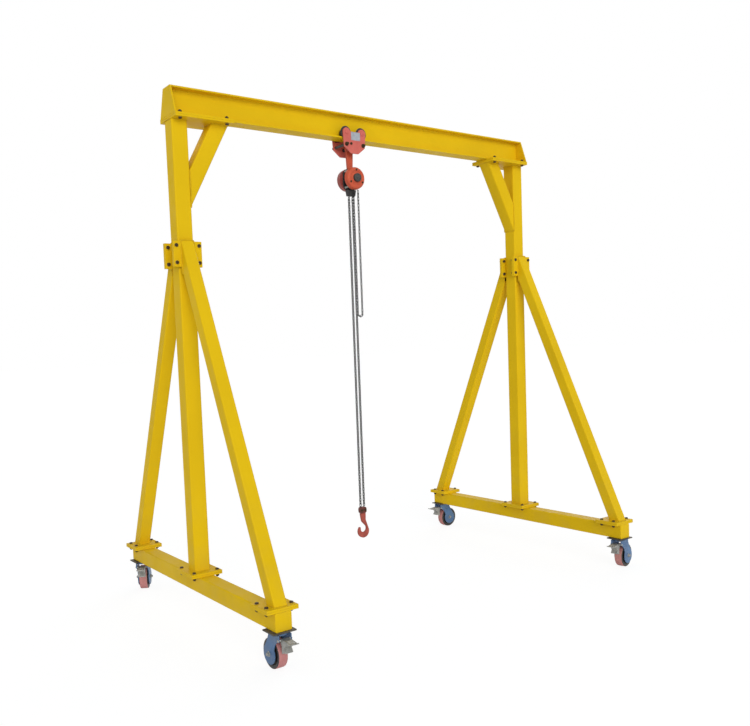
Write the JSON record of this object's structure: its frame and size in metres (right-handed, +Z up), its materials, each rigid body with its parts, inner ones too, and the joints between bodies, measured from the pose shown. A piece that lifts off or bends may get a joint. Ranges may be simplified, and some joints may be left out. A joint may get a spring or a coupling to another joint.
{
  "type": "portable gantry crane",
  "caption": "Portable yellow gantry crane: an I-beam on two A-frame ends with braked swivel casters, a push trolley and a hand chain hoist with hook.",
  "frame": {"origin": "on the floor, midway between the two A-frame ends and under the main beam", "axes": "+X along the main beam towards the right end, +Y along the base beams away from the viewer, +Z up"},
  "size_m": [3.0871, 2.1658, 3.216],
  "materials": {
    "yellow_paint": "satin gloss yellow paint",
    "dark_plate": "dark paint",
    "blue_fork": "blue-grey paint",
    "zinc": "zinc plated sheet",
    "black_iron": "black cast iron",
    "red_tread": "moulded tread",
    "red_paint": "red paint",
    "orange_paint": "orange paint",
    "chain_steel": "plated chain",
    "dark_chain": "dark oiled chain"
  },
  "bodies": {
    "frame": {"main_beam": "yellow_paint", "beam_end_plates": "yellow_paint", "beam_mount_plates": "yellow_paint", "column_top_plates": "yellow_paint", "collar_plates": "yellow_paint", "leg_head_plates": "yellow_paint", "left_column": "yellow_paint", "right_column": "yellow_paint", "left_knee_brace": "yellow_paint", "right_knee_brace": "yellow_paint", "front_left_leg": "yellow_paint", "back_left_leg": "yellow_paint", "front_right_leg": "yellow_paint", "back_right_leg": "yellow_paint", "left_base_beam": "yellow_paint", "right_base_beam": "yellow_paint", "base_end_caps": "yellow_paint", "base_plates": "yellow_paint", "foot_plates": "yellow_paint", "caster_plates": "dark_plate"},
    "trolley": {"trolley_front_plate": "red_paint", "trolley_back_plate": "red_paint", "trolley_wheels": "black_iron", "trolley_bars": "dark_plate", "hoist_eye": "red_paint", "hoist_frame": "black_iron", "hand_wheel_cover": "orange_paint", "gear_cover": "orange_paint", "hub_cap": "dark_plate", "chain_guide": "black_iron", "load_chain": "chain_steel", "hand_chain": "dark_chain"},
    "bottom_block": {"hook_block": "dark_plate"},
    "hook": {"load_hook": "red_paint"},
    "front_left_caster": {"front_left_fork": "blue_fork"},
    "front_left_pedal": {"front_left_brake_pedal": "zinc"},
    "front_left_wheel": {"front_left_wheel_core": "black_iron", "front_left_tread": "red_tread"},
    "back_left_caster": {"back_left_fork": "blue_fork"},
    "back_left_pedal": {"back_left_brake_pedal": "zinc"},
    "back_left_wheel": {"back_left_wheel_core": "black_iron", "back_left_tread": "red_tread"},
    "front_right_caster": {"front_right_fork": "blue_fork"},
    "front_right_pedal": {"front_right_brake_pedal": "zinc"},
    "front_right_wheel": {"front_right_wheel_core": "black_iron", "front_right_tread": "red_tread"},
    "back_right_caster": {"back_right_fork": "blue_fork"},
    "back_right_pedal": {"back_right_brake_pedal": "zinc"},
    "back_right_wheel": {"back_right_wheel_core": "black_iron", "back_right_tread": "red_tread"}
  },
  "joints": [
    {"name": "trolley_travel", "type": "slide", "parent": "frame", "child": "trolley", "axis": [1, 0, 0], "range_m": [-0.81, 1.15]},
    {"name": "hook_lift", "type": "slide", "parent": "trolley", "child": "bottom_block", "axis": [0, 0, 1], "range_m": [-0.3, 1.8], "deforming": ["load_chain"]},
    {"name": "hook_swivel", "type": "hinge", "parent": "bottom_block", "child": "hook", "pos_m": [-0.17, 0, 0.5], "axis": [0, 0, 1], "continuous": true},
    {"name": "front_left_swivel", "type": "hinge", "parent": "frame", "child": "front_left_caster", "pos_m": [-1.425, -0.942, 0.2], "axis": [0, 0, 1], "continuous": true},
    {"name": "front_left_roll", "type": "hinge", "parent": "front_left_caster", "child": "front_left_wheel", "pos_m": [-1.425, -0.89, 0.0825], "axis": [1, 0, 0], "continuous": true},
    {"name": "front_left_brake", "type": "hinge", "parent": "front_left_caster", "child": "front_left_pedal", "pos_m": [-1.425, -0.99, 0.1777], "axis": [1, 0, 0], "range_deg": [0, 12]},
    {"name": "back_left_swivel", "type": "hinge", "parent": "frame", "child": "back_left_caster", "pos_m": [-1.425, 0.942, 0.2], "axis": [0, 0, 1], "continuous": true},
    {"name": "back_left_roll", "type": "hinge", "parent": "back_left_caster", "child": "back_left_wheel", "pos_m": [-1.399, 0.98703, 0.0825], "axis": [0.866, -0.5, 0], "continuous": true},
    {"name": "back_left_brake", "type": "hinge", "parent": "back_left_caster", "child": "back_left_pedal", "pos_m": [-1.449, 0.90043, 0.1777], "axis": [0.866, -0.5, 0], "range_deg": [0, 12]},
    {"name": "front_right_swivel", "type": "hinge", "parent": "frame", "child": "front_right_caster", "pos_m": [1.425, -0.942, 0.2], "axis": [0, 0, 1], "continuous": true},
    {"name": "front_right_roll", "type": "hinge", "parent": "front_right_caster", "child": "front_right_wheel", "pos_m": [1.47621, -0.93297, 0.0825], "axis": [0.1736, -0.9848, 0], "continuous": true},
    {"name": "front_right_brake", "type": "hinge", "parent": "front_right_caster", "child": "front_right_pedal", "pos_m": [1.37773, -0.95034, 0.1777], "axis": [0.1736, -0.9848, 0], "range_deg": [0, 12]},
    {"name": "back_right_swivel", "type": "hinge", "parent": "frame", "child": "back_right_caster", "pos_m": [1.425, 0.942, 0.2], "axis": [0, 0, 1], "continuous": true},
    {"name": "back_right_roll", "type": "hinge", "parent": "back_right_caster", "child": "back_right_wheel", "pos_m": [1.477, 0.942, 0.0825], "axis": [0, -1, 0], "continuous": true},
    {"name": "back_right_brake", "type": "hinge", "parent": "back_right_caster", "child": "back_right_pedal", "pos_m": [1.377, 0.942, 0.1777], "axis": [0, -1, 0], "range_deg": [0, 12]}
  ]
}
